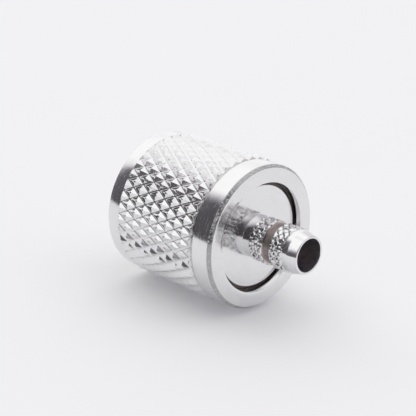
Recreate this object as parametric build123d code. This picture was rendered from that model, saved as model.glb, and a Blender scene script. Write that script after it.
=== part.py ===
from build123d import *
import math
import os

# Coaxial cable plug with a threaded coupling nut, in millimetres.
# X runs along the plug's axis: the mating reference plane, which is the front
# rim of the body, is at x = 0, the centre pin points to -X and the cable
# leaves to +X. Z is up, and the plug lies on the knurl of its nut.

# Coupling thread, 5/8 inch with 24 threads to the inch
thread_major_diameter = 15.875
thread_pitch = 25.4 / 24
thread_height_per_pitch = 1.0825
mouth_chamfer_past_thread = 0.15
thread_relief_width = 1.6
thread_relief_past_thread = 0.1

# Coupling nut
nut_length = 18.1
nut_reach = 10.2
nut_wall = 1.2125
front_band_width = 2.0
front_edge_chamfer = 0.2
rear_band_width = 2.95
rear_edge_chamfer = 0.35
rear_groove_width = 0.35
rear_groove_depth = 0.42
shoulder_thickness = 3.0

# Diamond knurl round the nut: the rolled crests stand above the smooth bands
nut_knurl_teeth = 39
nut_knurl_diamond_length = 2.82
nut_knurl_crest_height = 0.3
nut_knurl_depth = 0.42
nut_knurl_row_setback = 0.06

# Body: rim, flange and barrel inside the nut
flange_thickness = 1.5
flange_thread_clearance = 0.115
flange_step = 0.79
flange_thrust_clearance = 0.15
sleeve_step = 0.2
sleeve_wall = 1.1
barrel_nut_clearance = 0.49
barrel_recess = 0.84
barrel_edge_chamfer = 0.1
barrel_rear_wall = 0.96
barrel_wall = 1.15
key_count = 2
key_width = 1.8
key_height = 0.5
key_inset = 0.15

# Crimp stem behind the barrel, with two knurled bands and a groove between
stem_length = 8.33
stem_bore_diameter = 4.16
stem_wall = 0.6
stem_lip_wall = 0.274
stem_taper_length = 1.23
stem_mouth_chamfer = 0.07
stem_front_plain_length = 1.09
stem_rear_plain_length = 0.76
stem_groove_width = 1.15
stem_groove_depth = 0.18
stem_knurl_teeth = 17
stem_knurl_diamond_length = 0.95
stem_knurl_crest_height = 0.16
stem_knurl_depth = 0.26
stem_knurl_turn = -12.0

# Retaining ring in facing grooves of the barrel and of the nut's shoulder
ring_radial_width = 1.0
ring_axial_width = 0.8
ring_bite = 0.35
ring_side_clearance = 0.1
ring_outer_clearance = 0.1
ring_closing_clearance = 0.1
ring_gap = 2.4
ring_setback = 0.7

# Insulator and centre contact
insulator_recess = 2.0
neck_wall_before_ring = 1.4
seat_clearance = 0.02
pin_diameter = 3.96
pin_reach = 13.5
pin_wall = 0.88
pin_nose_length = 1.2
pin_nose_drop = 0.66
pin_root_step = 0.2
pin_root_reach = 0.3
collar_step = 0.52
collar_width = 1.1
collar_cover = 0.9
tail_wall = 0.5
tail_setback = 0.1
tail_funnel = 0.25

# Diameters that follow from the sizes above
thread_minor_diameter = thread_major_diameter - thread_height_per_pitch * thread_pitch
thread_relief_diameter = thread_major_diameter + 2 * thread_relief_past_thread
mouth_diameter = thread_major_diameter + 2 * mouth_chamfer_past_thread
band_diameter = thread_major_diameter + 2 * nut_wall
rear_groove_diameter = band_diameter - 2 * rear_groove_depth
flange_diameter = thread_minor_diameter - 2 * flange_thread_clearance
sleeve_diameter = flange_diameter - 2 * sleeve_step
sleeve_bore_diameter = sleeve_diameter - 2 * sleeve_wall
barrel_diameter = flange_diameter - 2 * flange_step
shoulder_bore_diameter = barrel_diameter + 2 * barrel_nut_clearance
ring_outer_diameter = shoulder_bore_diameter + 2 * ring_bite
ring_inner_diameter = ring_outer_diameter - 2 * ring_radial_width
nut_ring_groove_diameter = ring_outer_diameter + 2 * ring_outer_clearance
ring_closing_depth = ring_radial_width + ring_closing_clearance
body_ring_groove_diameter = shoulder_bore_diameter - 2 * ring_closing_depth
neck_bore_diameter = body_ring_groove_diameter - 2 * barrel_wall
stem_diameter = stem_bore_diameter + 2 * stem_wall
stem_lip_diameter = stem_bore_diameter + 2 * stem_lip_wall
stem_groove_diameter = stem_diameter - 2 * stem_groove_depth
pin_bore_diameter = pin_diameter - 2 * pin_wall
tail_diameter = pin_bore_diameter + 2 * tail_wall
pin_root_diameter = pin_diameter + 2 * pin_root_step
collar_diameter = pin_diameter + 2 * collar_step

# Places along X that follow from the sizes above
nut_front = -nut_reach
nut_rear = nut_front + nut_length
shoulder_front = nut_rear - shoulder_thickness
relief_front = shoulder_front - thread_relief_width
knurl_front = nut_front + front_band_width
nut_knurl_row = knurl_front + nut_knurl_row_setback
rear_band_front = nut_rear - rear_band_width
knurl_rear = rear_band_front - rear_groove_width
flange_rear = shoulder_front - flange_thrust_clearance
flange_front = flange_rear - flange_thickness
barrel_rear = nut_rear - barrel_recess
ring_front = shoulder_front + ring_setback
ring_rear = ring_front + ring_axial_width
insulator_front = insulator_recess
neck_front = ring_front - neck_wall_before_ring
neck_rear = barrel_rear - barrel_rear_wall
stem_tip = barrel_rear + stem_length
stem_taper_front = stem_tip - stem_taper_length
first_band_front = barrel_rear + stem_front_plain_length
second_band_rear = stem_taper_front - stem_rear_plain_length
stem_knurl_band_width = (second_band_rear - first_band_front - stem_groove_width) / 2
first_band_rear = first_band_front + stem_knurl_band_width
second_band_front = second_band_rear - stem_knurl_band_width
collar_rear = neck_rear - collar_cover
collar_front = collar_rear - collar_width
pin_root_front = insulator_front - pin_root_reach
pin_tip = -pin_reach
tail_rear = neck_rear - tail_setback

# A quarter of a tooth round puts two crests side by side under the nut
nut_knurl_turn = 360 / nut_knurl_teeth / 4

# Cutters run this far past the metal that they cut
cutter_margin = 1.0


def turned(*outline):
    """Solid of revolution about the X axis from an outline of (x, radius) points."""
    return revolve(make_face(Polyline(*outline, close=True)), Axis.X)


def on_cylinder(x, radius, angle):
    """Point at an angle in degrees round the X axis, counted from +Z towards +Y."""
    turn = math.radians(angle)
    return (x, radius * math.sin(turn), radius * math.cos(turn))


def keep_side(corners, plane_x, side):
    """Part of a flat polygon on one side of the plane x = plane_x."""
    kept = []
    for start, end in zip(corners, corners[1:] + corners[:1]):
        start_depth = side * (start[0] - plane_x)
        end_depth = side * (end[0] - plane_x)
        if start_depth >= 0:
            kept.append(start)
        if start_depth * end_depth < 0:
            share = start_depth / (start_depth - end_depth)
            y = start[1] + share * (end[1] - start[1])
            z = start[2] + share * (end[2] - start[2])
            kept.append((plane_x, y, z))
    return kept


def knurled_bar(front, rear, teeth, diamond_length, root, crest, row_x, turn):
    """Round bar with a raised diamond knurl: rows of four-sided pyramids, each
    row half a tooth round from the last, cut off square at both ends. One row
    has its crests at x = row_x, the first of them at the angle turn."""
    smallest = 1e-6
    decimals = 7
    pitch = 360 / teeth
    half = diamond_length / 2
    first_row = math.floor((front - row_x) / half)
    last_row = math.ceil((rear - row_x) / half)
    facets = []
    end_corners = {front: set(), rear: set()}
    for row in range(first_row, last_row + 1):
        x = row_x + row * half
        for tooth in range(teeth):
            angle = turn + (tooth + (row % 2) / 2) * pitch
            peak = on_cylinder(x, crest, angle)
            base = [
                on_cylinder(x + half, root, angle),
                on_cylinder(x, root, angle + pitch / 2),
                on_cylinder(x - half, root, angle),
                on_cylinder(x, root, angle - pitch / 2),
            ]
            for start, end in zip(base, base[1:] + base[:1]):
                corners = keep_side([peak, start, end], front, 1)
                corners = keep_side(corners, rear, -1)
                corners = [p for i, p in enumerate(corners) if math.dist(p, corners[i - 1]) > smallest]
                places = [p[0] for p in corners]
                if len(corners) < 3 or max(places) - min(places) < smallest:
                    continue
                facets.append(corners)
                for p in corners:
                    if p[0] in end_corners:
                        end_corners[p[0]].add((round(p[1], decimals), round(p[2], decimals)))
    for x, corners in end_corners.items():
        rim = sorted(corners, key=lambda yz: math.atan2(yz[1], yz[0]))
        facets.append([(x, y, z) for y, z in rim])
    return Solid(Shell([Face(Wire.make_polygon(corners)) for corners in facets]))


def make_coupling_nut():
    """Knurled nut with smooth end bands, threaded bore and rear shoulder."""
    band = band_diameter / 2
    root = band + nut_knurl_crest_height - nut_knurl_depth
    groove = rear_groove_diameter / 2
    front_band = turned(
        (nut_front, 0),
        (nut_front, band - front_edge_chamfer),
        (nut_front + front_edge_chamfer, band),
        (knurl_front, band),
        (knurl_front, 0),
    )
    rear_band = turned(
        (knurl_rear, 0),
        (knurl_rear, groove),
        (rear_band_front, groove),
        (rear_band_front, band),
        (nut_rear - rear_edge_chamfer, band),
        (nut_rear, band - rear_edge_chamfer),
        (nut_rear, 0),
    )
    knurl = knurled_bar(
        knurl_front,
        knurl_rear,
        nut_knurl_teeth,
        nut_knurl_diamond_length,
        root,
        band + nut_knurl_crest_height,
        nut_knurl_row,
        nut_knurl_turn,
    )
    minor = thread_minor_diameter / 2
    mouth = mouth_diameter / 2
    relief = thread_relief_diameter / 2
    shoulder = shoulder_bore_diameter / 2
    ring_groove = nut_ring_groove_diameter / 2
    bore = turned(
        (nut_front - cutter_margin, 0),
        (nut_front - cutter_margin, mouth),
        (nut_front, mouth),
        (nut_front + mouth - minor, minor),
        (relief_front - (relief - minor), minor),
        (relief_front, relief),
        (shoulder_front, relief),
        (shoulder_front, shoulder),
        (ring_front - ring_side_clearance, shoulder),
        (ring_front - ring_side_clearance, ring_groove),
        (ring_rear + ring_side_clearance, ring_groove),
        (ring_rear + ring_side_clearance, shoulder),
        (nut_rear + cutter_margin, shoulder),
        (nut_rear + cutter_margin, 0),
    )
    return front_band + knurl + rear_band - bore


def make_body():
    """One turned piece: keyed rim, flange, barrel and knurled crimp stem."""
    sleeve = sleeve_diameter / 2
    barrel = barrel_diameter / 2
    ring_groove = body_ring_groove_diameter / 2
    stem = stem_diameter / 2
    front = turned(
        (0, 0),
        (0, sleeve),
        (flange_front, sleeve),
        (flange_front, flange_diameter / 2),
        (flange_rear, flange_diameter / 2),
        (flange_rear, barrel),
        (ring_front, barrel),
        (ring_front, ring_groove),
        (ring_rear + ring_side_clearance, ring_groove),
        (ring_rear + ring_side_clearance, barrel),
        (barrel_rear - barrel_edge_chamfer, barrel),
        (barrel_rear, barrel - barrel_edge_chamfer),
        (barrel_rear, stem),
        (first_band_front, stem),
        (first_band_front, 0),
    )
    middle = turned(
        (first_band_rear, 0),
        (first_band_rear, stem_groove_diameter / 2),
        (second_band_front, stem_groove_diameter / 2),
        (second_band_front, 0),
    )
    tip = turned(
        (second_band_rear, 0),
        (second_band_rear, stem),
        (stem_taper_front, stem),
        (stem_tip, stem_lip_diameter / 2),
        (stem_tip, 0),
    )
    blank = front
    for band_front, band_rear, next_piece in (
        (first_band_front, first_band_rear, middle),
        (second_band_front, second_band_rear, tip),
    ):
        blank += knurled_bar(
            band_front,
            band_rear,
            stem_knurl_teeth,
            stem_knurl_diamond_length,
            stem + stem_knurl_crest_height - stem_knurl_depth,
            stem + stem_knurl_crest_height,
            first_band_front,
            stem_knurl_turn,
        )
        blank += next_piece
    sleeve_bore = sleeve_bore_diameter / 2
    neck_bore = neck_bore_diameter / 2
    stem_bore = stem_bore_diameter / 2
    bore = turned(
        (-cutter_margin, 0),
        (-cutter_margin, sleeve_bore),
        (neck_front, sleeve_bore),
        (neck_front, neck_bore),
        (neck_rear, neck_bore),
        (neck_rear, stem_bore),
        (stem_tip - stem_mouth_chamfer, stem_bore),
        (stem_tip, stem_bore + stem_mouth_chamfer),
        (stem_tip + cutter_margin, stem_bore + stem_mouth_chamfer),
        (stem_tip + cutter_margin, 0),
    )
    rim_wall = turned(
        (-key_height, sleeve_bore + key_inset),
        (-key_height, sleeve - key_inset),
        (key_inset, sleeve - key_inset),
        (key_inset, sleeve_bore + key_inset),
    )
    key_blank = Box(2 * key_height, sleeve_diameter, key_width, align=(Align.CENTER, Align.MIN, Align.CENTER))
    keys = [Rot(360 / key_count * i, 0, 0) * key_blank & rim_wall for i in range(key_count)]
    return blank - bore + keys


def make_insulator():
    """White bush that centres the contact: head in the rim, neck in the barrel."""
    root_hole = pin_root_diameter / 2 + seat_clearance
    collar_hole = collar_diameter / 2 + seat_clearance
    tail_hole = tail_diameter / 2 + seat_clearance
    return turned(
        (insulator_front, root_hole),
        (insulator_front, sleeve_bore_diameter / 2 - seat_clearance),
        (neck_front, sleeve_bore_diameter / 2 - seat_clearance),
        (neck_front, neck_bore_diameter / 2 - seat_clearance),
        (neck_rear, neck_bore_diameter / 2 - seat_clearance),
        (neck_rear, tail_hole),
        (collar_rear, tail_hole),
        (collar_rear, collar_hole),
        (collar_front, collar_hole),
        (collar_front, root_hole),
    )


def make_centre_contact():
    """Hollow pin with a bullet nose, a thicker root, a collar held in the
    insulator and a tail."""
    pin = pin_diameter / 2
    root = pin_root_diameter / 2
    hole = pin_bore_diameter / 2
    collar = collar_diameter / 2
    tail = tail_diameter / 2
    nose_rear = pin_tip + pin_nose_length
    nose_front = (pin_tip, pin - pin_nose_drop)
    nose = TangentArc((nose_rear, pin), nose_front, tangent=(-1, 0))
    rest = Polyline(
        nose_front,
        (pin_tip, hole),
        (tail_rear - tail_funnel, hole),
        (tail_rear, hole + tail_funnel),
        (tail_rear, tail),
        (collar_rear, tail),
        (collar_rear, collar),
        (collar_front, collar),
        (collar_front, root),
        (pin_root_front, root),
        (pin_root_front, pin),
        (nose_rear, pin),
    )
    return revolve(make_face([nose, rest]), Axis.X)


def make_snap_ring():
    """Open spring ring, flat in section, with its gap at the top."""
    hoop = turned(
        (ring_front, ring_inner_diameter / 2),
        (ring_front, ring_outer_diameter / 2),
        (ring_rear, ring_outer_diameter / 2),
        (ring_rear, ring_inner_diameter / 2),
    )
    gap_height = ring_outer_diameter / 2 + cutter_margin
    gap = Box(4 * ring_axial_width, ring_gap, gap_height, align=(Align.CENTER, Align.CENTER, Align.MIN))
    return hoop - Pos(ring_front, 0, 0) * gap


nodes = {
    "coupling_nut": make_coupling_nut(),
    "body": make_body(),
    "insulator": make_insulator(),
    "centre_contact": make_centre_contact(),
    "snap_ring": make_snap_ring(),
}

os.makedirs("parts", exist_ok=True)
for name, solid in nodes.items():
    export_step(solid, f"parts/{name}.step")
    size = solid.bounding_box().size
    print(f"{name}: {solid.volume:.1f} mm3, {size.X:.2f} x {size.Y:.2f} x {size.Z:.2f} mm")
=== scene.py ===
import math

import bmesh
import bpy
import numpy as np
from mathutils import Matrix, Vector


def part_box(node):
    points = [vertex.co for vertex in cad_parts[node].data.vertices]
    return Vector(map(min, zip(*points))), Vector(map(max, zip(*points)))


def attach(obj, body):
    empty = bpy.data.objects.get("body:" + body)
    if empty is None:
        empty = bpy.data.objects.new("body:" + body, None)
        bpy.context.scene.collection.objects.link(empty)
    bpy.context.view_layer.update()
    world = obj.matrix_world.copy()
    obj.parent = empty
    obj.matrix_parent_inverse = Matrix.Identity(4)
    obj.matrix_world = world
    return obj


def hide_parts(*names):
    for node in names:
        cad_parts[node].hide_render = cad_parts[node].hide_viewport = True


bl_info = {
    "name": "Knurled coaxial plug",
    "version": (1, 0, 0),
    "blender": (4, 5, 0),
    "location": "View3D > Sidebar > Plug",
    "description": "Dresses a coaxial cable plug with its knurls, thread, turned faces and finishes",
    "category": "Mesh",
}

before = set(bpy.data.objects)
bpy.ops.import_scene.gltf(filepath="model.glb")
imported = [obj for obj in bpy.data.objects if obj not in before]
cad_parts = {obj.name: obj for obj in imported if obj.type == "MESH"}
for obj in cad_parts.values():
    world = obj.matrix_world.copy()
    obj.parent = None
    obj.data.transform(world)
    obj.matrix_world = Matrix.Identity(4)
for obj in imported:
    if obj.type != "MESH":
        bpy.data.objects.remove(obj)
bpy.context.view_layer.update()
nut_low, nut_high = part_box("coupling_nut")
body_low, body_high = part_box("body")
insulator_low, insulator_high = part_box("insulator")
contact_low, contact_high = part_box("centre_contact")
ring_low, ring_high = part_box("snap_ring")

MM = 0.001
FULL_TURN = 2 * math.pi
QUARTER_TURN = math.pi / 2

# Material slots of the nut's skin, and the body's further ones
TURNED, KNURLED, CHATTERED = range(3)
GROOVED, BORED = 2, 3


# Sizes, finishes and stage

def length(name, description, millimetres):
    """A length, given in millimetres and kept in metres."""
    return bpy.props.FloatProperty(
        name=name, description=description, default=millimetres * MM, unit="LENGTH", subtype="DISTANCE",
        precision=5
    )


def angle(name, description, degrees):
    return bpy.props.FloatProperty(
        name=name, description=description, default=math.radians(degrees), unit="ROTATION", subtype="ANGLE"
    )


def colour(name, description, default):
    return bpy.props.FloatVectorProperty(
        name=name, description=description, default=default, size=3, min=0, max=1, subtype="COLOR"
    )


def share(name, description, default, highest=1.0):
    return bpy.props.FloatProperty(
        name=name, description=description, default=default, min=0, max=highest, subtype="FACTOR"
    )


def count(name, description, default, fewest):
    return bpy.props.IntProperty(name=name, description=description, default=default, min=fewest)


class NutSizes(bpy.types.PropertyGroup):
    """Sizes of the coupling nut."""

    band_radius: length("Band radius", "Radius of the two smooth bands", 9.15)
    front_band: length("Front band", "Width of the smooth band at the mouth", 2.0)
    rear_band: length("Rear band", "Width of the smooth band at the cable end", 2.95)
    groove_width: length("Groove width", "Width of the groove between knurl and rear band", 0.35)
    groove_depth: length("Groove depth", "Depth of that groove below the bands", 0.42)
    front_chamfer: length("Front chamfer", "Chamfer on the rim of the mouth", 0.2)
    rear_chamfer: length("Rear chamfer", "Chamfer on the rim of the cable end", 0.35)
    teeth: count("Teeth", "Diamonds round the nut", 39, 12)
    diamond_length: length("Diamond length", "Length of one diamond along the axis", 2.82)
    row_setback: length("Row setback", "First row of crests behind the front band", 0.06)
    crest_height: length("Crest height", "Height of the crests above the bands", 0.3)
    knurl_depth: length("Knurl depth", "Height of the crests above the valleys", 0.40)
    valley: share("Valley", "Share of a diamond's width that is valley", 0.11)
    flank: share("Flank", "Width of a valley's sloping side as a share of a diamond", 0.445)
    pits: share("Pits", "Share of the depth that only the crossings of the valleys reach", 0.0)
    wear: share("Wear", "Share of the height that is gone from the crests", 0.15)
    uneven: share("Uneven", "How much the diamonds differ from each other", 0.1)
    soft: share("Soft valley", "How softly the valley runs into the diamonds", 0.05)
    knurl_steps: count("Knurl steps", "Mesh columns and rings across one diamond", 20, 8)
    thread_pitch: length("Thread pitch", "Pitch of the coupling thread", 25.4 / 24)
    thread_major: length("Thread major radius", "Largest radius of the thread's groove", 7.9375)
    thread_minor: length("Thread minor radius", "Smallest radius of the thread's crest", 7.365)
    mouth_radius: length("Mouth radius", "Radius of the chamfered mouth", 8.0875)
    relief_radius: length("Relief radius", "Radius of the relief behind the thread", 8.0375)
    relief_width: length("Relief width", "Width of the relief behind the thread", 1.6)
    shoulder: length("Shoulder", "Thickness of the shoulder at the cable end", 3.0)
    shoulder_radius: length("Shoulder bore", "Radius of the hole through the shoulder", 6.95)
    shoulder_chamfer: length("Shoulder chamfer", "Broken edge of the hole at the cable end", 0.09)
    ring_groove_radius: length("Ring groove", "Radius of the groove for the snap ring", 7.4)
    ring_clearance: length("Ring clearance", "Room at each side of the snap ring", 0.1)


class BodySizes(bpy.types.PropertyGroup):
    """Sizes of the turned body and its crimp stem."""

    rim_radius: length("Rim radius", "Outer radius of the front rim", 7.05)
    bore_radius: length("Rim bore", "Inner radius of the front rim", 5.95)
    rim_chamfer: length("Rim chamfer", "Broken edges of the front rim", 0.14)
    flange_front: length("Flange front", "Front of the thrust flange", 3.25)
    flange_rear: length("Flange rear", "Rear of the thrust flange", 4.75)
    flange_radius: length("Flange radius", "Radius of the thrust flange", 7.25)
    barrel_radius: length("Barrel radius", "Radius of the barrel in the nut's rear hole", 6.46)
    barrel_rear: length("Barrel rear", "Face of the barrel at the cable end", 7.06)
    barrel_edge: length("Barrel edge", "Rounding of the barrel's edge", 0.1)
    ring_groove_radius: length("Ring groove", "Radius of the groove for the snap ring", 5.85)
    ring_clearance: length("Ring clearance", "Room behind the snap ring", 0.1)
    neck_front: length("Neck front", "Front of the narrow bore", 4.2)
    neck_rear: length("Neck rear", "Rear wall of the narrow bore", 6.1)
    neck_radius: length("Neck radius", "Radius of the narrow bore", 4.7)
    stem_radius: length("Stem radius", "Plain radius of the crimp stem", 2.68)
    stem_bore: length("Stem bore", "Radius of the stem's bore", 2.08)
    lip_radius: length("Lip radius", "Outer radius at the end of the stem's taper", 2.354)
    lip_edge: length("Lip edge", "Rounding of both edges of the stem's mouth", 0.07)
    taper: length("Taper", "Length of the taper at the stem's end", 1.23)
    front_plain: length("Front plain length", "Plain stem between the barrel and the first knurl", 1.09)
    knurl_band: length("Knurl band", "Width of each knurled band of the stem", 2.05)
    groove_width: length("Groove width", "Width of the groove between the knurled bands", 1.15)
    groove_depth: length("Groove depth", "Depth of that groove", 0.18)
    teeth: count("Teeth", "Diamonds round the stem", 17, 6)
    diamond_length: length("Diamond length", "Length of one diamond along the stem", 0.95)
    knurl_turn: angle("Knurl turn", "Angle of the first row of crests", -12)
    crest_height: length("Crest height", "Height of the crests above the plain stem", 0.16)
    knurl_depth: length("Knurl depth", "Height of the crests above the valleys", 0.24)
    valley: share("Valley", "Share of a diamond's width that is valley", 0.10)
    flank: share("Flank", "Width of a valley's sloping side as a share of a diamond", 0.24)
    pits: share("Pits", "Share of the depth that only the crossings of the valleys reach", 0.78)
    wear: share("Wear", "Share of the height that is gone from the crests", 0.02)
    uneven: share("Uneven", "How much the diamonds differ from each other", 0.8)
    soft: share("Soft valley", "How softly the valley runs into the diamonds", 0.03)
    knurl_steps: count("Knurl steps", "Mesh columns and rings across one diamond", 16, 8)
    key_width: length("Key width", "Width of the two keys on the rim", 1.8)
    key_inset: length("Key inset", "How far the keys stand in from the rim's edges", 0.15)
    key_edge: length("Key edge", "Rounding of the keys' front edges", 0.06)


class InsideSizes(bpy.types.PropertyGroup):
    """Sizes of the insulator, centre contact and snap ring."""

    seat: length("Seat clearance", "Room between the insulator and the metal", 0.02)
    insulator_edge: length("Insulator edge", "Rounding of the insulator's edges", 0.08)
    pin_radius: length("Pin radius", "Radius of the centre pin", 1.98)
    pin_bore: length("Pin bore", "Radius of the pin's bore", 1.1)
    pin_edge: length("Pin edge", "Broken edges of the contact", 0.05)
    nose: length("Nose", "Length of the pin's rounded nose", 1.2)
    nose_drop: length("Nose drop", "Radius that the nose loses", 0.66)
    root_radius: length("Root radius", "Radius of the pin's thicker root", 2.18)
    root_reach: length("Root reach", "How far the root stands out of the insulator", 0.3)
    collar_radius: length("Collar radius", "Radius of the collar in the insulator", 2.5)
    collar_front: length("Collar front", "Front of the collar", 4.1)
    collar_rear: length("Collar rear", "Rear of the collar", 5.2)
    tail_radius: length("Tail radius", "Radius of the contact's tail", 1.6)
    funnel: length("Funnel", "Chamfer in the tail's mouth", 0.25)
    ring_inner: length("Ring inner radius", "Inner radius of the snap ring", 6.3)
    ring_outer: length("Ring outer radius", "Outer radius of the snap ring", 7.3)
    ring_edge: length("Ring edge", "Broken edges of the snap ring", 0.06)
    ring_gap: length("Ring gap", "Opening of the snap ring", 2.4)


class Finishes(bpy.types.PropertyGroup):
    """Colours and surface of the finishes."""

    nickel: colour("Nickel", "Reflection of the nickel plate", (0.81, 0.805, 0.81))
    knurl_roughness: share("Knurl roughness", "Roughness of the rolled diamonds", 0.09)
    turned_roughness: share("Turned roughness", "Roughness of the turned faces", 0.08)
    groove: colour("Stem groove", "Tarnished metal between the stem's knurls", (0.54, 0.475, 0.445))
    bore: colour("Stem bore", "Tarnished metal in the stem's bore", (0.86, 0.82, 0.86))
    insulator: colour("Insulator", "White fluoropolymer", (0.87, 0.87, 0.855))
    gold: colour("Gold", "Reflection of the contact's gold plate", (0.92, 0.70, 0.36))
    # Near black, far darker than bronze: besides a darkened ring, this colour paints the shade in the narrow
    # gap between barrel and nut
    bronze: colour("Bronze", "Reflection of the darkened snap ring", (0.11, 0.09, 0.085))
    floor: colour("Floor", "Pale table top", (0.86, 0.865, 0.875))


class StageSizes(bpy.types.PropertyGroup):
    """The camera, the floor and the surroundings that the metal mirrors."""

    focal: bpy.props.FloatProperty(
        name="Focal length", description="Focal length on a 36 mm wide sensor", default=109.9, min=1,
        unit="CAMERA"
    )
    place: bpy.props.FloatVectorProperty(
        name="Camera place", description="Where the camera stands", size=3, unit="LENGTH", subtype="XYZ",
        default=(103.95 * MM, -108.18 * MM, 54.26 * MM)
    )
    azimuth: angle("Azimuth", "Direction from the plug to the camera, from +X towards +Y", -45.7125)
    elevation: angle("Elevation", "How steeply the camera looks down", 19.3456)
    roll: angle("Roll", "Turn of the camera about its own line of sight", 2.628)
    floor_reach: length("Floor reach", "Half the width of the floor", 3000)
    floor_edge: length("Floor edge", "Where the edge of the floor crosses the middle of the plug", -60)
    floor_slant: share("Floor slant", "How far that edge leans away from the plug's axis", 0.28)
    glow: share("Glow", "Lift of the floor where the camera or a mirroring surface sees it", 0.155)
    walls: share("Walls", "Brightness of the surroundings at the height of the plug", 1.0, 3.0)
    top: share("Top", "Brightness overhead", 1.16, 3.0)
    dull: share("Dull spot", "How dark the spot overhead where no lamp shines is", 0.15)
    dull_side: bpy.props.FloatVectorProperty(
        name="Dull side", description="Direction of that spot", size=3, subtype="DIRECTION",
        default=(-0.29, 0.02, 1.0)
    )


# Brightness of the walls by their direction, in degrees from +X towards +Y: dark on the camera's
# side of the plug, bright behind it
WALLS = (
    (-180, 0.98), (-163, 0.88), (-152, 0.14), (-128, 0.08), (-112, 0.10), (-98, 0.12), (-70, 0.06),
    (-30, 0.07), (-10, 0.28), (20, 0.60), (75, 0.66), (100, 0.72), (117, 0.84), (130, 1.07), (180, 0.98),
)

# Height of the walls' upper edge in degrees, by the same direction
WALL_HEIGHTS = (
    (-180, 20), (-168, 30), (-156, 38), (-147, 45), (-138, 50), (-130, 48), (-122, 38), (-112, 22),
    (-105, 13), (-98, 18), (-85, 42), (-70, 54), (-20, 54), (20, 42), (60, 44), (110, 52), (128, 40),
    (150, 26), (180, 20),
)
WALL_SOFTNESS = 14


# Shaders

class Signal:
    """A socket that carries numbers, so that shader sums read as plain arithmetic."""

    def __init__(self, shader, socket):
        self.shader = shader
        self.socket = socket

    def __add__(self, other):
        return self.shader.maths("ADD", self, other)

    __radd__ = __add__

    def __sub__(self, other):
        return self.shader.maths("SUBTRACT", self, other)

    def __rsub__(self, other):
        return self.shader.maths("SUBTRACT", other, self)

    def __mul__(self, other):
        return self.shader.maths("MULTIPLY", self, other)

    __rmul__ = __mul__

    def __truediv__(self, other):
        return self.shader.maths("DIVIDE", self, other)

    def __rtruediv__(self, other):
        return self.shader.maths("DIVIDE", other, self)


class Shader:
    """Node tree of one material or of the world."""

    def __init__(self, owner):
        owner.use_nodes = True
        self.tree = owner.node_tree
        self.tree.nodes.clear()

    def node(self, kind, settings=None, values=None):
        """Add a node: first its settings, with a ramp's stops among them, then its inputs."""
        made = self.tree.nodes.new("ShaderNode" + kind)
        for name, setting in (settings or {}).items():
            if name == "stops":
                ramp = made.color_ramp
                while len(ramp.elements) < len(setting):
                    ramp.elements.new(0.5)
                for element, (place, shade) in zip(ramp.elements, setting):
                    element.position = place
                    element.color = (shade, shade, shade, 1.0)
            else:
                setattr(made, name, setting)
        for name, value in (values or {}).items():
            socket = made.inputs[name]
            if isinstance(value, Signal):
                self.tree.links.new(value.socket, socket)
            else:
                socket.default_value = value
        return made

    def signal(self, kind, settings=None, values=None, output=0):
        return Signal(self, self.node(kind, settings, values).outputs[output])

    def maths(self, operation, *terms):
        return self.signal("Math", {"operation": operation}, dict(enumerate(terms)))

    def smooth(self, value, low, high):
        """From 0 at low to 1 at high, easing at both ends."""
        limits = {"Value": value, "From Min": low, "From Max": high}
        return self.signal("MapRange", {"interpolation_type": "SMOOTHSTEP"}, limits)

    def split(self, vector):
        """The three parts of a vector."""
        parts = self.node("SeparateXYZ", values={"Vector": vector}).outputs
        return [Signal(self, part) for part in parts]

    def scaled(self, tint, tone):
        """A colour made lighter or darker by a tone that changes over the surface."""
        return self.signal("VectorMath", {"operation": "SCALE"}, {0: tuple(tint), "Scale": tone})

    def noise(self, place, size, detail=3.0):
        """Even noise of a given size in metres."""
        values = {"Vector": place, "Scale": 1 / size, "Detail": detail, "Roughness": 0.6}
        return self.signal("TexNoise", values=values)

    def finish(self, surface):
        self.node("OutputMaterial", values={"Surface": surface})


class TurnedShader(Shader):
    """Material of a turned piece. It knows where a point lies: along the axis and out from it in
    metres, and in which direction round it."""

    def __init__(self, name):
        self.material = bpy.data.materials.new(name)
        super().__init__(self.material)
        self.place = self.signal("TexCoord", output="Object")
        self.along, y, z = self.split(self.place)
        self.out = self.maths("SQRT", y * y + z * z + 1e-12)
        self.across = y / self.out
        self.up = z / self.out

    def grain(self, size, detail=3.0):
        return self.noise(self.place, size, detail)

    def lathe_marks(self, spacing, run):
        """Noise that is fine along the section and drawn out round the axis."""
        parts = {"X": self.along / spacing, "Y": self.across * run, "Z": self.up * run}
        vector = self.signal("CombineXYZ", values=parts)
        marks = {"Vector": vector, "W": self.out / spacing, "Scale": 1.0, "Detail": 3.0, "Roughness": 0.6}
        return self.signal("TexNoise", {"noise_dimensions": "4D"}, marks)

    def plated(self, base, rough, height, reach):
        """Bare metal with a bumped surface; reach is what a height of 1 comes to in metres."""
        bump = self.signal("Bump", values={"Strength": 1.0, "Distance": reach, "Height": height})
        metal = {"Base Color": base, "Metallic": 1.0, "Roughness": rough, "Normal": bump}
        self.finish(self.signal("BsdfPrincipled", values=metal))
        return self.material


def nickel_turned(finishes):
    """Nickel over turned brass: rings left by the tool, brushed spots, faint stains and pits."""
    metal = TurnedShader("nickel_turned")
    fine = metal.lathe_marks(0.035 * MM, 1.2)
    broad = metal.lathe_marks(0.16 * MM, 0.7)
    brushed = metal.smooth(metal.lathe_marks(0.07 * MM, 7.0), 0.52, 0.70)
    stain = metal.grain(1.9 * MM, 4.0)
    pits = metal.smooth(metal.grain(0.11 * MM, 2.0), 0.66, 0.74)
    base = metal.scaled(finishes.nickel, stain * 0.10 + fine * 0.08 + 0.91 - pits * 0.05)
    rough = finishes.turned_roughness + (stain - 0.5) * 0.10 + (fine - 0.5) * 0.12 + brushed * 0.22
    return metal.plated(base, rough, fine * 1.4 + broad * 0.4 + brushed * 0.8 - pits * 0.4, 0.0024 * MM)


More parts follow.
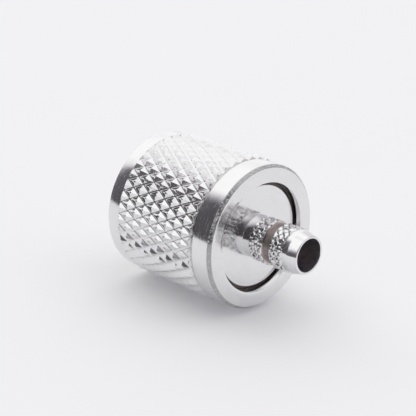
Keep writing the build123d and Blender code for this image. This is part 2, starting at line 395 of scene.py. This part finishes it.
def nickel_knurl(finishes, name, root, tarnish_and_shade):
    """Nickel over rolled diamonds: torn on the side that the roll left last, rougher in the valleys,
    which lie at the radius root, and darker there: partly tarnish and partly painted shade in the pits."""
    metal = TurnedShader(name)
    fine = metal.grain(0.09 * MM)
    coarse = metal.grain(0.32 * MM, 2.0)
    normal_x, normal_y, normal_z = metal.split(metal.signal("TexCoord", output="Normal"))
    left_last = normal_x - normal_y * metal.up + normal_z * metal.across
    torn = metal.smooth(left_last, 0.25, 0.5) * metal.smooth(metal.grain(0.5 * MM, 1.0), 0.40, 0.60)
    # Valleys up to 0.07 mm above the root get a darker base colour: partly tarnish, partly painted shade in
    # the pits
    valley = 1 - metal.smooth(metal.out, root, root + 0.07 * MM)
    base = metal.scaled(finishes.nickel, (fine * 0.10 + 0.93) * (1 - valley * tarnish_and_shade))
    rough = finishes.knurl_roughness + torn * 0.06 + (fine - 0.5) * 0.1 + valley * 0.08
    return metal.plated(base, rough, coarse * 0.8 + fine * (0.25 + torn * 2.2), 0.005 * MM)


def nickel_chatter(finishes):
    """Nickel over a chamfer that the tool has chattered on."""
    metal = TurnedShader("nickel_chatter")
    steps = metal.signal("CombineXYZ", values={"X": metal.across, "Y": metal.up, "Z": metal.out * 60})
    chatter = {"Vector": steps, "Scale": 75.0, "Detail": 3.0, "Roughness": 0.7}
    specks = metal.smooth(metal.signal("TexNoise", values=chatter), 0.48, 0.64)
    fine = metal.grain(0.06 * MM, 2.0)
    base = metal.scaled(finishes.nickel, specks * 0.5 + fine * 0.2 + 0.45)
    return metal.plated(base, fine * 0.12 + 0.12, specks + fine * 0.1, 0.02 * MM)


def tarnished(name, tint):
    """Dull turned metal where the plating is thin."""
    metal = TurnedShader(name)
    stain = metal.grain(0.7 * MM)
    base = metal.scaled(tint, stain * 0.6 + 0.7)
    return metal.plated(base, stain * 0.2 + 0.2, metal.lathe_marks(0.12 * MM, 1.0), 0.004 * MM)


def white_fluoropolymer(finishes):
    """Waxy white plastic with the marks of the lathe."""
    plastic = TurnedShader("white_fluoropolymer")
    rings = plastic.lathe_marks(0.07 * MM, 0.8)
    plastic.finish(plastic.signal("BsdfPrincipled", values={
        "Base Color": plastic.scaled(finishes.insulator, plastic.grain(1.5 * MM) * 0.06 + 0.97),
        "Roughness": rings * 0.2 + 0.38,
        "Normal": plastic.signal("Bump", values={"Distance": 0.006 * MM, "Height": rings}),
        "Subsurface Weight": 0.15, "Subsurface Radius": (1.0, 1.0, 1.0), "Subsurface Scale": 0.4 * MM,
    }))
    return plastic.material


def gold_plate(finishes):
    """Thin gold over the turned contact."""
    metal = TurnedShader("gold_plate")
    cloud = metal.grain(1.2 * MM)
    base = metal.scaled(finishes.gold, cloud * 0.12 + 0.92)
    return metal.plated(base, cloud * 0.12 + 0.14, metal.lathe_marks(0.05 * MM, 1.0), 0.0016 * MM)


def phosphor_bronze(finishes):
    """Stamped spring strip, slightly dulled, with a near-black colour that also paints the shade of the
    narrow gap it sits in.
    """
    metal = TurnedShader("phosphor_bronze")
    stain = metal.grain(0.9 * MM)
    base = metal.scaled(finishes.bronze, stain * 0.3 + 0.8)
    return metal.plated(base, stain * 0.2 + 0.25, metal.grain(0.05 * MM), 0.003 * MM)


# Meshes

def put(name, data):
    """Put a mesh or a camera into the scene."""
    made = bpy.data.objects.new(name, data)
    bpy.context.collection.objects.link(made)
    return made


def put_smooth(name, mesh, sharp):
    """Put a mesh that looks smooth where it bends by less than the angle sharp."""
    mesh.shade_smooth()
    mesh.set_sharp_from_angle(angle=sharp)
    return put(name, mesh)


class Skin:
    """Closed skin of a turned piece, laid ring by ring round the X axis. A section
    runs rearwards on the outside and forwards on the inside."""

    def __init__(self, columns):
        self.columns = columns
        self.points = []
        self.faces = []
        self.slots = []
        self.count = 0
        self.rings = []

    def ring(self, x, radius, slot=TURNED, columns=None, ridges=None):
        """Lay one ring. x and radius are numbers or one value a column; slot is the finish
        of the strip that leads to it, and ridges picks that strip's diagonals."""
        columns = columns or self.columns
        angles = FULL_TURN * np.arange(columns) / columns
        xs = np.broadcast_to(x, columns)
        radii = np.broadcast_to(radius, columns)
        self.points.append(np.column_stack((xs, radii * np.sin(angles), radii * np.cos(angles))))
        ring = (self.count, columns)
        self.count += columns
        if self.rings:
            self.strip(self.rings[-1], ring, slot, ridges)
        self.rings.append(ring)

    def turn(self, outline, slot=TURNED):
        """Lay a ring for each point of an outline, given as places along the axis and radii."""
        for x, radius in outline:
            self.ring(x, radius, slot)

    def corner(self, x, radius, edge, start, end, steps):
        """Lay a rounded edge about its centre, from one heading to another. A heading of 0 points
        outwards and a quarter turn rearwards."""
        headings = np.linspace(start, end, steps)
        self.turn(zip(x + edge * np.sin(headings), radius + edge * np.cos(headings)))

    def strip(self, first, second, slot, ridges=None):
        start_a, many_a = first
        start_b, many_b = second
        if many_a == many_b:
            here = np.arange(many_a)
            there = (here + 1) % many_a
            a, a_next = start_a + here, start_a + there
            b, b_next = start_b + here, start_b + there
            if ridges is None:
                made = np.column_stack((a, b, b_next, a_next)).tolist()
            else:
                falling = np.stack((a, b, b_next, a, b_next, a_next), axis=1).reshape(-1, 2, 3)
                rising = np.stack((a, b, a_next, b, b_next, a_next), axis=1).reshape(-1, 2, 3)
                made = np.where(ridges[:, None, None], rising, falling).reshape(-1, 3).tolist()
        elif many_a < many_b:
            made = self.fan(first, second)
        else:
            made = [face[::-1] for face in self.fan(second, first)]
        self.faces += made
        self.slots += [slot] * len(made)

    def fan(self, coarse, fine):
        """Triangles between a ring and a later one with several times its columns."""
        start, many = coarse
        fine_start, fine_many = fine
        step = fine_many // many
        made = []
        for column in range(many):
            here, there = start + column, start + (column + 1) % many
            edge = [fine_start + (column * step + i) % fine_many for i in range(step + 1)]
            middle = step // 2
            for i in range(step):
                made.append([here if i < middle else there, edge[i], edge[i + 1]])
            made.append([here, edge[middle], there])
        return made

    def close(self):
        """Join the last ring to the first."""
        self.strip(self.rings[-1], self.rings[0], TURNED)

    def build(self, name, materials, sharp=math.radians(24)):
        mesh = bpy.data.meshes.new(name)
        mesh.from_pydata(np.concatenate(self.points), [], self.faces)
        for material in materials:
            mesh.materials.append(material)
        mesh.polygons.foreach_set("material_index", self.slots)
        skin = bmesh.new()
        skin.from_mesh(mesh)
        bmesh.ops.remove_doubles(skin, verts=skin.verts, dist=1e-7)
        bmesh.ops.dissolve_degenerate(skin, edges=skin.edges, dist=1e-7)
        skin.to_mesh(mesh)
        skin.free()
        return put_smooth(name, mesh, sharp)


def ripple(rng, columns):
    """Slow unevenness round an edge, of about 0.4 up and down."""
    window = 7
    return np.convolve(rng.normal(0, 1, columns + window - 1), np.ones(window) / window, "valid")


class Knurl:
    """Two crossing sets of helical valleys that leave diamonds. Every diamond differs a little
    from its neighbours."""

    # How softly the flats of worn crests begin, as a share of the depth
    SOFT_CREST = 0.008
    # How unevenly tall the diamonds are, and how unevenly worn
    TALLER, MORE_WORN = 0.12, 0.2
    # Chamfer of the rear end: its lowest point as a share of the depth, and its rise along the axis
    REAR_END, REAR_RISE = 0.25, 1.3
    FRONT_RISE = 1.2
    # Free stretch between the ends and the next ring, as a share of a step
    FREE = 0.3
    # Different diamonds each way before they repeat
    KINDS = 256

    def __init__(self, sizes, surface, row_x, turn, seed):
        """The crests stand above the radius surface, and one of them is at row_x and turn."""
        self.sizes = sizes
        self.crest = surface + sizes.crest_height
        self.root = self.crest - sizes.knurl_depth
        self.row_x, self.turn = row_x, turn
        rng = np.random.default_rng(seed)
        self.tall, self.lean_round, self.lean_along = rng.normal(0, 1, (3, self.KINDS, self.KINDS))

    def nearest(self, x, angle):
        """The nearest diamond, counted along both helices, and the way to it in diamonds."""
        around = (angle - self.turn) / FULL_TURN * self.sizes.teeth
        along = (x - self.row_x) / self.sizes.diamond_length
        first, second = around + along, around - along
        number_first, number_second = np.round(first).astype(int), np.round(second).astype(int)
        return number_first, number_second, first - number_first, second - number_second

    def radius(self, x, angle):
        sizes = self.sizes
        first, second, off_first, off_second = self.nearest(x, angle)
        flat = 0.5 - sizes.valley / 2 - sizes.flank
        cut_first = np.maximum(np.abs(off_first) - flat, 0) / sizes.flank
        cut_second = np.maximum(np.abs(off_second) - flat, 0) / sizes.flank
        height = 1 - np.maximum(cut_first, cut_second) * (1 - sizes.pits)
        height -= np.minimum(cut_first * cut_second, 1) * sizes.pits
        lap = np.floor_divide(first + second, 2 * sizes.teeth) * sizes.teeth
        which = ((first - lap) % self.KINDS, (second - lap) % self.KINDS)
        lean = self.lean_round[which] * (off_first + off_second) / 2
        lean += self.lean_along[which] * (off_first - off_second) / 2
        height += (lean + self.TALLER * self.tall[which]) * sizes.uneven * np.maximum(height, 0)
        worn = 1 - sizes.wear * (1 + self.MORE_WORN * self.tall[which])
        height = worn - np.logaddexp(0, (worn - height) / self.SOFT_CREST) * self.SOFT_CREST
        height = np.logaddexp(0, height / sizes.soft) * sizes.soft
        return self.root + (self.crest - self.root) * np.clip(height, 0, 1)

    def places(self, front, rear, inset):
        """Where the rings lie: in step with the diamonds, and just inside both ends."""
        step = self.sizes.diamond_length / self.sizes.knurl_steps
        first = math.ceil((front - self.row_x) / step + self.FREE)
        last = math.floor((rear - self.row_x) / step - self.FREE)
        return [front + inset, *(self.row_x + i * step for i in range(first, last + 1)), rear - inset]

    def lay(self, skin, front, rear, front_edge, inset):
        """Lay a knurled stretch with both ends chamfered; front_edge is its radius at the front."""
        columns = self.sizes.knurl_steps * self.sizes.teeth
        angles = FULL_TURN * np.arange(columns) / columns
        half_column = FULL_TURN / columns / 2
        rear_edge = self.root + (self.crest - self.root) * self.REAR_END
        places = self.places(front, rear, inset)
        last = None
        for x in places:
            ridges = None
            if last is not None:
                *_, off_first, off_second = self.nearest((x + last) / 2, angles + half_column)
                ridges = np.abs(off_first) > np.abs(off_second)
            chamfer = min(
                rear_edge + (places[-1] - x) * self.REAR_RISE, front_edge + (x - places[0]) * self.FRONT_RISE
            )
            skin.ring(x, np.minimum(self.radius(x, angles), chamfer), KNURLED, columns, ridges)
            last = x


class PLUG_OT_coupling_nut(bpy.types.Operator):
    """Turn and knurl the coupling nut and cut its thread"""

    bl_idname = "plug.coupling_nut"
    bl_label = "Coupling nut"

    def execute(self, context):
        sizes = context.scene.plug_nut
        finishes = context.scene.plug_finishes
        front, rear = nut_low[0], nut_high[0]
        knurl_front = front + sizes.front_band
        band_front = rear - sizes.rear_band
        knurl_rear = band_front - sizes.groove_width
        quarter_tooth = FULL_TURN / sizes.teeth / 4
        knurl = Knurl(sizes, sizes.band_radius, knurl_front + sizes.row_setback, quarter_tooth, 11)
        skin = Skin(4 * sizes.teeth)
        self.front_band(skin, sizes, front, knurl_front)
        knurl.lay(skin, knurl_front, knurl_rear, sizes.band_radius + 0.03 * MM, 0.01 * MM)
        self.groove(skin, sizes, knurl_rear, band_front)
        self.rear_band(skin, sizes, rear)
        relief_front = self.shoulder(skin, sizes, rear)
        self.thread(skin, sizes, front, relief_front)
        skin.close()
        materials = [
            nickel_turned(finishes), nickel_knurl(finishes, "nut_knurl", knurl.root, 0),
            nickel_chatter(finishes)
        ]
        piece = skin.build("knurled_nut", materials)
        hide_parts("coupling_nut")
        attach(piece, "coupling_nut")
        return {"FINISHED"}

    def front_band(self, skin, sizes, front, rear):
        """The mouth's face, its rounded edge and the smooth band."""
        band, chamfer, mouth = sizes.band_radius, sizes.front_chamfer, sizes.mouth_radius
        face_edge = band - chamfer
        skin.ring(front, mouth + 0.02 * MM)
        skin.turn(np.linspace((front, mouth + 0.05 * MM), (front, face_edge), 4))
        skin.corner(front + chamfer, face_edge, chamfer, 0.35 - QUARTER_TURN, -0.35, 4)
        skin.turn([(front + chamfer, band), (rear - 0.05 * MM, band)])

    def groove(self, skin, sizes, front, rear):
        """The groove between knurl and rear band, with sloping walls and a rounded floor."""
        band = sizes.band_radius
        floor = band - sizes.groove_depth
        skin.ring(front + 0.06 * MM, floor + 0.14 * MM, KNURLED)
        skin.turn([
            (front + 0.12 * MM, floor + 0.03 * MM), (front + 0.17 * MM, floor),
            (rear - 0.13 * MM, floor), (rear - 0.09 * MM, floor + 0.03 * MM),
            (rear - 0.04 * MM, floor + 0.16 * MM), (rear, band - 0.05 * MM), (rear + 0.05 * MM, band),
        ])

    def rear_band(self, skin, sizes, rear):
        """The chattered chamfer of the rear band and the face within it."""
        band, chamfer = sizes.band_radius, sizes.rear_chamfer
        skin.ring(rear - chamfer - 0.12 * MM, band)
        columns = 4 * skin.columns
        rng = np.random.default_rng(5)
        skin.ring(rear - chamfer + ripple(rng, columns) * 0.02 * MM, band - 0.012 * MM, CHATTERED, columns)
        middle = band - chamfer / 2 + ripple(rng, columns) * 0.014 * MM
        skin.ring(rear - chamfer / 2, middle, CHATTERED, columns)
        edge = band - chamfer + ripple(rng, columns) * 0.018 * MM
        skin.ring(rear - 0.01 * MM, edge, CHATTERED, columns)
        hole_edge = sizes.shoulder_radius + sizes.shoulder_chamfer
        skin.turn(np.linspace((rear, band - chamfer - 0.06 * MM), (rear, hole_edge), 5))

    def shoulder(self, skin, sizes, rear):
        """The hole through the shoulder with its ring groove, then the relief. Gives its front."""
        hole, chamfer = sizes.shoulder_radius, sizes.shoulder_chamfer
        groove_front = ring_low[0] - sizes.ring_clearance
        groove_rear = ring_high[0] + sizes.ring_clearance
        shoulder_front = rear - sizes.shoulder
        relief_front = shoulder_front - sizes.relief_width
        skin.turn([
            (rear - chamfer * 0.3, hole + chamfer * 0.3), (rear - chamfer, hole), (groove_rear, hole),
            (groove_rear, sizes.ring_groove_radius), (groove_front, sizes.ring_groove_radius),
            (groove_front, hole), (shoulder_front, hole),
            (shoulder_front, sizes.relief_radius), (relief_front, sizes.relief_radius),
        ])
        return relief_front

    def thread(self, skin, sizes, front, rear):
        """Right-handed thread, laid from the relief forwards to the mouth. Each ring joins its own
        start, so the grooves step back by one pitch between the last column and the first."""
        pitch, depth = sizes.thread_pitch, sizes.thread_major - sizes.thread_minor
        mouth, relief = sizes.mouth_radius, sizes.relief_radius
        turns = np.arange(skin.columns) / skin.columns
        section = [(0.0, 0.0), (0.12, 0.0), (0.45, 1.0), (0.51, 1.03), (0.57, 1.0), (0.90, 0.0)]
        laps = math.ceil((rear - front) / pitch) + 2
        for lap in range(laps, -2, -1):
            for share_of_pitch, share_of_depth in reversed(section):
                x = front + pitch * (lap - 1 + share_of_pitch - turns)
                inside = np.clip(x, front, rear)
                cones = np.maximum(mouth - (inside - front), relief - (rear - inside))
                radius = np.maximum(sizes.thread_minor + depth * share_of_depth, cones)
                radius = np.where(x <= front, mouth, np.where(x >= rear, relief, radius))
                skin.ring(inside, radius)


class PLUG_OT_body(bpy.types.Operator):
    """Turn the body with its keyed rim and knurled crimp stem"""

    bl_idname = "plug.body"
    bl_label = "Body and crimp stem"

    def execute(self, context):
        sizes = context.scene.plug_body
        finishes = context.scene.plug_finishes
        first_knurl = sizes.barrel_rear + sizes.front_plain
        knurl = Knurl(sizes, sizes.stem_radius, first_knurl, sizes.knurl_turn, 21)
        skin = Skin(sizes.knurl_steps * sizes.teeth)
        self.barrel(skin, sizes)
        self.knurled_stem(skin, sizes, knurl, first_knurl)
        self.stem_end(skin, sizes)
        skin.turn([
            (sizes.neck_rear, sizes.neck_radius), (sizes.neck_front, sizes.neck_radius),
            (sizes.neck_front, sizes.bore_radius), (sizes.rim_chamfer, sizes.bore_radius),
        ])
        skin.close()
        self.keys(skin, sizes)
        materials = [
            # 0.85 darkens the stem's valleys: partly tarnish and partly painted shade in its pits
            nickel_turned(finishes), nickel_knurl(finishes, "stem_knurl", knurl.root, 0.85),
            tarnished("dull_groove", finishes.groove), tarnished("dull_bore", finishes.bore)
        ]
        piece = skin.build("turned_body", materials)
        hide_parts("body")
        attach(piece, "body")
        return {"FINISHED"}

    def barrel(self, skin, sizes):
        """From the front rim over flange and ring groove to the face round the stem."""
        rim, bore, chamfer = sizes.rim_radius, sizes.bore_radius, sizes.rim_chamfer
        barrel, face, stem = sizes.barrel_radius, sizes.barrel_rear, sizes.stem_radius
        edge = sizes.barrel_edge
        groove_front, groove_rear = ring_low[0], ring_high[0] + sizes.ring_clearance
        skin.turn([
            (0, bore + chamfer), (0, rim - chamfer), (chamfer, rim), (sizes.flange_front, rim),
            (sizes.flange_front, sizes.flange_radius), (sizes.flange_rear, sizes.flange_radius),
            (sizes.flange_rear, barrel), (groove_front, barrel), (groove_front, sizes.ring_groove_radius),
            (groove_rear, sizes.ring_groove_radius), (groove_rear, barrel),
        ])
        skin.corner(face - edge, barrel - edge, edge, 0.2, QUARTER_TURN - 0.2, 4)
        skin.turn(np.linspace((face, barrel - 0.12 * MM), (face, stem + 0.05 * MM), 7))
        skin.turn([(face + 0.02 * MM, stem + 0.01 * MM), (face + 0.05 * MM, stem)])

    def knurled_stem(self, skin, sizes, knurl, front):
        """Two knurled bands with a groove between them."""
        stem = sizes.stem_radius
        floor = stem - sizes.groove_depth
        inset = 0.005 * MM
        groove_front = front + sizes.knurl_band
        groove_rear = groove_front + sizes.groove_width
        rear = groove_rear + sizes.knurl_band
        skin.ring(front - 0.03 * MM, stem)
        knurl.lay(skin, front, groove_front, stem, inset)
        skin.turn([
            (groove_front + 0.02 * MM, floor + 0.02 * MM), (groove_front + 0.05 * MM, floor),
            (groove_rear - 0.05 * MM, floor), (groove_rear - 0.02 * MM, floor + 0.02 * MM),
        ], GROOVED)
        knurl.lay(skin, groove_rear, rear, stem, inset)
        skin.ring(rear + 0.03 * MM, stem, KNURLED)

    def stem_end(self, skin, sizes):
        """The taper, the rounded lip and the bore."""
        tip, edge = body_high[0], sizes.lip_edge
        stem, lip, bore = sizes.stem_radius, sizes.lip_radius, sizes.stem_bore
        taper = tip - sizes.taper
        skin.turn([(taper - 0.06 * MM, stem), (taper, stem - 0.008 * MM)])
        parts = np.linspace(0.06, 0.95, 6)
        skin.turn(zip(taper + sizes.taper * parts, stem + (lip - stem) * parts))
        skin.corner(tip - edge, lip - edge, edge, 0.25, QUARTER_TURN, 5)
        skin.corner(tip - edge, bore + edge, edge, QUARTER_TURN, 2 * QUARTER_TURN, 5)
        skin.ring(tip - edge - 0.25 * MM, bore, BORED)
        skin.turn(np.linspace((tip - 1.5 * MM, bore), (sizes.neck_rear, bore), 4), BORED)

    def keys(self, skin, sizes):
        """Two keys on the rim, with rounded front edges."""
        inner = sizes.bore_radius + sizes.key_inset
        outer = sizes.rim_radius - sizes.key_inset
        half, edge, tall = sizes.key_width / 2, sizes.key_edge, -body_low[0]
        outline = [
            (sizes.key_inset, 0), (-tall + edge, 0), (-tall + edge * 0.3, edge * 0.3), (-tall, edge)
        ]
        for side in (1, -1):
            start = skin.count
            rows = []
            for x, inset in outline:
                high, low = outer - inset, inner + inset
                z = (half - inset) * np.linspace(-1, 1, 9)
                loop = [(x, side * math.sqrt(high ** 2 - w ** 2), side * w) for w in z]
                loop += [(x, side * math.sqrt(low ** 2 - w ** 2), side * w) for w in z[::-1]]
                rows.append(loop)
            many = len(rows[0])
            skin.points += [np.array(row) for row in rows]
            skin.count += many * len(rows)
            faces = []
            for i in range(len(rows) - 1):
                a, b = start + i * many, start + (i + 1) * many
                faces += [[a + j, a + (j + 1) % many, b + (j + 1) % many, b + j] for j in range(many)]
            last = start + (len(rows) - 1) * many
            faces.append([last + j for j in range(many)])
            faces.append([start + j for j in range(many)][::-1])
            skin.faces += faces
            skin.slots += [TURNED] * len(faces)


class PLUG_OT_insulator(bpy.types.Operator):
    """Turn the white insulator that centres the contact"""

    bl_idname = "plug.insulator"
    bl_label = "Insulator"

    def execute(self, context):
        sizes = context.scene.plug_inside
        body = context.scene.plug_body
        front, rear = insulator_low[0], insulator_high[0]
        edge, seat = sizes.insulator_edge, sizes.seat
        outside, neck = body.bore_radius - seat, body.neck_radius - seat
        hole, tail, collar = sizes.root_radius + seat, sizes.tail_radius + seat, sizes.collar_radius + seat
        skin = Skin(128)
        skin.turn(np.linspace((front, hole + edge), (front, outside - edge), 8))
        skin.corner(front + edge, outside - edge, edge, 0.3 - QUARTER_TURN, 0, 4)
        skin.turn([
            (body.neck_front, outside), (body.neck_front, neck), (rear - edge, neck), (rear, neck - edge),
            (rear, tail), (sizes.collar_rear, tail), (sizes.collar_rear, collar),
            (sizes.collar_front, collar), (sizes.collar_front, hole), (front + edge, hole),
        ])
        skin.close()
        piece = skin.build("white_insulator", [white_fluoropolymer(context.scene.plug_finishes)])
        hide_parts("insulator")
        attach(piece, "body")
        return {"FINISHED"}


class PLUG_OT_contact(bpy.types.Operator):
    """Turn the hollow centre pin and its tail"""

    bl_idname = "plug.contact"
    bl_label = "Centre contact"

    def execute(self, context):
        sizes = context.scene.plug_inside
        tip, tail = contact_low[0], contact_high[0]
        pin, hole, edge = sizes.pin_radius, sizes.pin_bore, sizes.pin_edge
        drop, nose = sizes.nose_drop, sizes.nose
        root_front = insulator_low[0] - sizes.root_reach
        skin = Skin(96)
        skin.turn([(tip + edge, hole), (tip, hole + edge)])
        round_radius = (nose ** 2 + drop ** 2) / (2 * drop)
        sweep = math.asin(nose / round_radius)
        skin.corner(tip + nose, pin - round_radius, round_radius, -sweep, 0, 14)
        skin.turn(np.linspace((tip + nose + 1 * MM, pin), (root_front, pin), 6))
        skin.turn([
            (root_front, sizes.root_radius - edge), (root_front + edge, sizes.root_radius),
            (sizes.collar_front, sizes.root_radius), (sizes.collar_front, sizes.collar_radius),
            (sizes.collar_rear, sizes.collar_radius), (sizes.collar_rear, sizes.tail_radius),
            (tail - edge / 2, sizes.tail_radius), (tail, sizes.tail_radius - edge / 2),
            (tail, hole + sizes.funnel), (tail - sizes.funnel, hole),
        ])
        skin.close()
        piece = skin.build("centre_pin", [gold_plate(context.scene.plug_finishes)], math.radians(30))
        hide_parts("centre_contact")
        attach(piece, "body")
        return {"FINISHED"}


class PLUG_OT_snap_ring(bpy.types.Operator):
    """Bend the open spring ring between body and nut"""

    bl_idname = "plug.snap_ring"
    bl_label = "Snap ring"

    def execute(self, context):
        sizes = context.scene.plug_inside
        inner, outer, edge = sizes.ring_inner, sizes.ring_outer, sizes.ring_edge
        front, rear = ring_low[0], ring_high[0]
        section = [
            (front, inner + edge), (front, outer - edge), (front + edge, outer), (rear - edge, outer),
            (rear, outer - edge), (rear, inner + edge), (rear - edge, inner), (front + edge, inner),
        ]
        half_gap = math.asin(sizes.ring_gap / 2 / inner)
        angles = np.linspace(half_gap, FULL_TURN - half_gap, 121)
        points = [(x, r * math.sin(a), r * math.cos(a)) for a in angles for x, r in section]
        many = len(section)
        faces = []
        for start in range(0, len(points) - many, many):
            for j in range(many):
                k = (j + 1) % many
                faces.append([start + j, start + k, start + many + k, start + many + j])
        faces.append(list(range(many))[::-1])
        faces.append(list(range(len(points) - many, len(points))))
        mesh = bpy.data.meshes.new("spring_ring")
        mesh.from_pydata(points, [], faces)
        ring = bmesh.new()
        ring.from_mesh(mesh)
        bmesh.ops.recalc_face_normals(ring, faces=ring.faces)
        ring.to_mesh(mesh)
        ring.free()
        mesh.materials.append(phosphor_bronze(context.scene.plug_finishes))
        piece = put_smooth("spring_ring", mesh, math.radians(30))
        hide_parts("snap_ring")
        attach(piece, "body")
        return {"FINISHED"}


class PLUG_OT_stage(bpy.types.Operator):
    """Set the floor, the soft surroundings and the camera"""

    bl_idname = "plug.stage"
    bl_label = "Stage"

    def execute(self, context):
        scene = context.scene
        stage = scene.plug_stage
        scene.view_settings.view_transform = "Standard"
        self.floor(context, stage)
        self.surroundings(scene, stage)
        self.camera(context, stage)
        return {"FINISHED"}

    def floor(self, context, stage):
        """A pale table whose long edge passes between plug and camera, outside the picture."""
        reach, low = stage.floor_reach, nut_low[2]
        edge, slant = stage.floor_edge, stage.floor_slant
        corners = [
            (-reach, edge - slant * reach, low), (reach, edge + slant * reach, low),
            (reach, reach, low), (-reach, reach, low),
        ]
        mesh = bpy.data.meshes.new("floor")
        mesh.from_pydata(corners, [], [[0, 1, 2, 3]])
        material = bpy.data.materials.new("pale_table")
        shader = Shader(material)
        cloud = shader.noise(shader.signal("TexCoord", output="Object"), 40 * MM, 2.0)
        by_camera = shader.signal("LightPath", output="Is Camera Ray")
        by_metal = shader.signal("LightPath", output="Is Glossy Ray")
        lift = shader.maths("MAXIMUM", by_camera, by_metal) * stage.glow
        shader.finish(shader.signal("BsdfPrincipled", values={
            "Base Color": shader.scaled(context.scene.plug_finishes.floor, cloud * 0.02 + 0.99),
            "Roughness": 0.75, "Specular IOR Level": 0.2,
            "Emission Color": shader.signal(
                "CombineColor", values={"Red": lift, "Green": lift, "Blue": lift * 1.04}
            ),
            "Emission Strength": 1.0,
        }))
        mesh.materials.append(material)
        floor = put("floor", mesh)

    def surroundings(self, scene, stage):
        """Walls that are dark on the camera's side under a bright ceiling. The camera itself sees
        an even pale backdrop."""
        world = bpy.data.worlds.new("soft_surroundings")
        scene.world = world
        shader = Shader(world)
        x, y, z = shader.split(shader.signal("TexCoord", output="Generated"))
        around = shader.maths("ARCTAN2", y, x) / FULL_TURN + 0.5
        rise = shader.maths("ARCSINE", z) * math.degrees(1)
        shades = [(turn / 360 + 0.5, stage.walls * shade) for turn, shade in WALLS]
        wall = shader.signal("ValToRGB", {"stops": shades}, {"Fac": around})
        heights = [(turn / 360 + 0.5, height / 90) for turn, height in WALL_HEIGHTS]
        edge = shader.signal("ValToRGB", {"stops": heights}, {"Fac": around}) * 90
        above = shader.smooth(rise - edge, -WALL_SOFTNESS, WALL_SOFTNESS)
        light = wall * (1 - above) + above * stage.top
        dull_x, dull_y, dull_z = Vector(stage.dull_side).normalized()
        towards = x * dull_x + y * dull_y + z * dull_z
        light = light * (1 - shader.smooth(towards, 0.980, 0.996) * stage.dull)
        tint = light * (stage.top - light)
        seen = shader.signal("LightPath", output="Is Camera Ray")
        shade = shader.signal("CombineColor", values={
            "Red": (light + tint * 0.05) * (1 - seen) + seen * 0.93,
            "Green": light * (1 - seen) + seen * 0.93,
            "Blue": (light + tint * 0.09) * (1 - seen) + seen * 0.94,
        })
        shader.node("OutputWorld", values={"Surface": shader.signal("Background", values={"Color": shade})})

    def camera(self, context, stage):
        data = bpy.data.cameras.new("camera")
        data.lens = stage.focal
        data.sensor_width = 36.0
        data.clip_start = 0.001
        data.clip_end = 20.0
        camera = put("camera", data)
        camera.matrix_world = (
            Matrix.Translation(stage.place) @ Matrix.Rotation(stage.azimuth + QUARTER_TURN, 4, "Z")
            @ Matrix.Rotation(QUARTER_TURN - stage.elevation, 4, "X") @ Matrix.Rotation(stage.roll, 4, "Z")
        )
        context.scene.camera = camera


class PLUG_PT_panel(bpy.types.Panel):
    """Sizes, finishes and steps of the plug"""

    bl_idname = "PLUG_PT_panel"
    bl_label = "Coaxial plug"
    bl_space_type = "VIEW_3D"
    bl_region_type = "UI"
    bl_category = "Plug"

    def draw(self, context):
        layout = self.layout
        for name, group in GROUPS.items():
            box = layout.box()
            box.label(text=group.__doc__)
            for key in group.__annotations__:
                box.prop(getattr(context.scene, name), key)
        for step in STEPS:
            layout.operator(step.bl_idname)


GROUPS = {
    "plug_nut": NutSizes,
    "plug_body": BodySizes,
    "plug_inside": InsideSizes,
    "plug_finishes": Finishes,
    "plug_stage": StageSizes,
}
STEPS = (
    PLUG_OT_stage,
    PLUG_OT_coupling_nut,
    PLUG_OT_body,
    PLUG_OT_insulator,
    PLUG_OT_contact,
    PLUG_OT_snap_ring,
)
OWNERS = (*GROUPS.values(), *STEPS, PLUG_PT_panel)


def register():
    for owner in OWNERS:
        bpy.utils.register_class(owner)
    for name, group in GROUPS.items():
        setattr(bpy.types.Scene, name, bpy.props.PointerProperty(type=group))


def unregister():
    for name in GROUPS:
        delattr(bpy.types.Scene, name)
    for owner in reversed(OWNERS):
        bpy.utils.unregister_class(owner)


def main():
    register()
    for step in STEPS:
        space, action = step.bl_idname.split(".")
        getattr(getattr(bpy.ops, space), action)()


if __name__ == "__main__":
    main()
